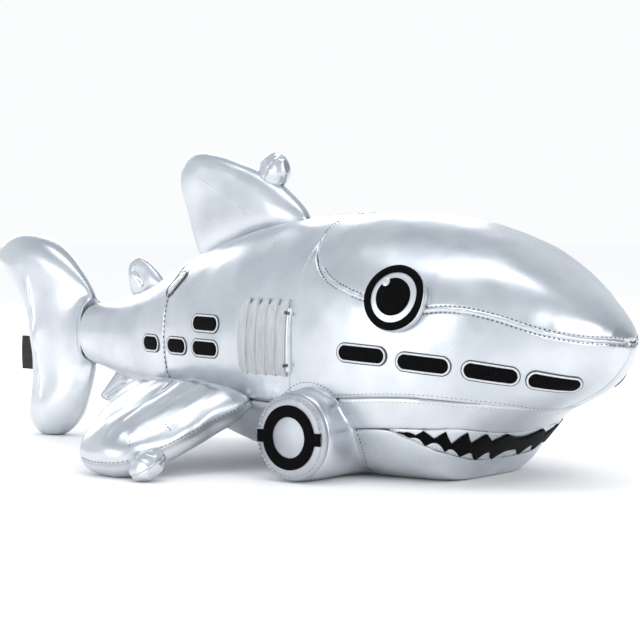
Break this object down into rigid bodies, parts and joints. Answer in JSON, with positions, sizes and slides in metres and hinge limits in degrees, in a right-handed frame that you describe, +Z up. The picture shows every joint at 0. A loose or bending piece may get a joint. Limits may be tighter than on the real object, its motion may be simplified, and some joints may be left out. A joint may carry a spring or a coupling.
{
  "type": "plush shark",
  "caption": "Stuffed toy shark in silver foil fabric with felt eyes, windows and teeth, wheel-like cheek bosses, pleated gills and stuffed fins that flex at their roots.",
  "frame": {"origin": "on the floor under the middle of the bounding box", "axes": "+X towards the nose, +Y to the shark's left, +Z up"},
  "size_m": [0.4986, 0.303, 0.1939],
  "materials": {
    "foil": "silver metallic foil-coated knit, satin shine",
    "black_felt": "black felt applique, matte",
    "grey_pleat": "matte grey pleated woven fabric",
    "stuffing": "white polyester fibre",
    "label": "black woven damask label, blank"
  },
  "bodies": {
    "trunk": {"stuffing_core": "stuffing", "crown_panel": "foil", "cheek_panel_right": "foil", "cheek_panel_left": "foil", "flank_panel_right": "foil", "flank_panel_left": "foil", "tail_section_right": "foil", "tail_section_left": "foil", "belly_panel": "foil", "chin_panel": "foil", "jaw_band": "foil", "mouth_panel": "foil", "eye_pad_right": "foil", "eye_pad_left": "foil", "back_patch_right": "foil", "back_patch_left": "foil", "boss_barrel_right": "foil", "boss_barrel_left": "foil", "boss_disc_right": "foil", "boss_disc_left": "foil", "mouth_zigzag": "black_felt", "eye_ring_right": "black_felt", "eye_ring_left": "black_felt", "eye_pupil_right": "black_felt", "eye_pupil_left": "black_felt", "boss_ring_right": "black_felt", "boss_ring_left": "black_felt", "head_window_1_right": "black_felt", "head_window_1_left": "black_felt", "head_window_2_right": "black_felt", "head_window_2_left": "black_felt", "head_window_3_right": "black_felt", "head_window_3_left": "black_felt", "head_window_4_right": "black_felt", "head_window_4_left": "black_felt", "rear_window_1_right": "black_felt", "rear_window_1_left": "black_felt", "rear_window_2_right": "black_felt", "rear_window_2_left": "black_felt", "rear_window_3_right": "black_felt", "rear_window_3_left": "black_felt", "rear_window_4_right": "black_felt", "rear_window_4_left": "black_felt"},
    "tail_fin": {"tail_fin": "foil"},
    "label": {"woven_label": "label"},
    "dorsal_fin": {"dorsal_fin": "foil"},
    "dorsal_pod": {"dorsal_pod": "foil"},
    "second_dorsal_fin": {"second_dorsal_fin": "foil"},
    "anal_fin": {"anal_fin": "foil"},
    "pectoral_fin_right": {"pectoral_fin_right": "foil"},
    "pectoral_pod_right": {"pectoral_pod_right": "foil"},
    "gill_block_right": {"gill_block_right": "grey_pleat"},
    "pectoral_fin_left": {"pectoral_fin_left": "foil"},
    "pectoral_pod_left": {"pectoral_pod_left": "foil"},
    "gill_block_left": {"gill_block_left": "grey_pleat"}
  },
  "joints": [
    {"name": "tail_fin_yaw", "type": "hinge", "parent": "trunk", "child": "tail_fin", "pos_m": [-0.1602, 0, 0.072], "axis": [0, 0, 1], "range_deg": [-25, 25], "stiffness_Nm_per_rad": 0.35},
    {"name": "label_flap", "type": "hinge", "parent": "tail_fin", "child": "label", "pos_m": [-0.2177, 0, 0.055], "axis": [0, 0, 1], "range_deg": [-60, 60], "stiffness_Nm_per_rad": 0.0006},
    {"name": "dorsal_fin_sway", "type": "hinge", "parent": "trunk", "child": "dorsal_fin", "pos_m": [0.022, 0, 0.15046], "axis": [0.9559, 0, 0.2938], "range_deg": [-15, 15], "stiffness_Nm_per_rad": 0.3},
    {"name": "dorsal_pod_flex", "type": "hinge", "parent": "dorsal_fin", "child": "dorsal_pod", "pos_m": [-0.0079, 0, 0.17449], "axis": [0, 1, 0], "range_deg": [-12, 12], "stiffness_Nm_per_rad": 0.02},
    {"name": "second_dorsal_sway", "type": "hinge", "parent": "trunk", "child": "second_dorsal_fin", "pos_m": [-0.11, 0, 0.10269], "axis": [0.9492, 0, 0.3145], "range_deg": [-30, 30], "stiffness_Nm_per_rad": 0.02},
    {"name": "anal_fin_sway", "type": "hinge", "parent": "trunk", "child": "anal_fin", "pos_m": [-0.129, 0, 0.04258], "axis": [0.9722, 0, -0.2341], "range_deg": [-30, 30], "stiffness_Nm_per_rad": 0.02},
    {"name": "pectoral_fin_flap_right", "type": "hinge", "parent": "trunk", "child": "pectoral_fin_right", "pos_m": [0.031, -0.07231, 0.04], "axis": [-0.9438, 0.3306, 0], "range_deg": [-5, 24], "stiffness_Nm_per_rad": 0.6},
    {"name": "pectoral_pod_flex_right", "type": "hinge", "parent": "pectoral_fin_right", "child": "pectoral_pod_right", "pos_m": [0.00867, -0.13559, 0.0097], "axis": [0, 0, 1], "range_deg": [-12, 12], "stiffness_Nm_per_rad": 0.02},
    {"name": "gill_block_lift_right", "type": "hinge", "parent": "trunk", "child": "gill_block_right", "pos_m": [0.06708, -0.07791, 0.08], "axis": [0.0082, 0, 1], "range_deg": [0, 22], "stiffness_Nm_per_rad": 0.02},
    {"name": "pectoral_fin_flap_left", "type": "hinge", "parent": "trunk", "child": "pectoral_fin_left", "pos_m": [0.031, 0.07231, 0.04], "axis": [0.9438, 0.3306, 0], "range_deg": [-5, 24], "stiffness_Nm_per_rad": 0.6},
    {"name": "pectoral_pod_flex_left", "type": "hinge", "parent": "pectoral_fin_left", "child": "pectoral_pod_left", "pos_m": [0.00867, 0.13559, 0.0097], "axis": [0, 0, 1], "range_deg": [-12, 12], "stiffness_Nm_per_rad": 0.02},
    {"name": "gill_block_lift_left", "type": "hinge", "parent": "trunk", "child": "gill_block_left", "pos_m": [0.06708, 0.07791, 0.08], "axis": [-0.0082, 0, -1], "range_deg": [0, 22], "stiffness_Nm_per_rad": 0.02}
  ]
}
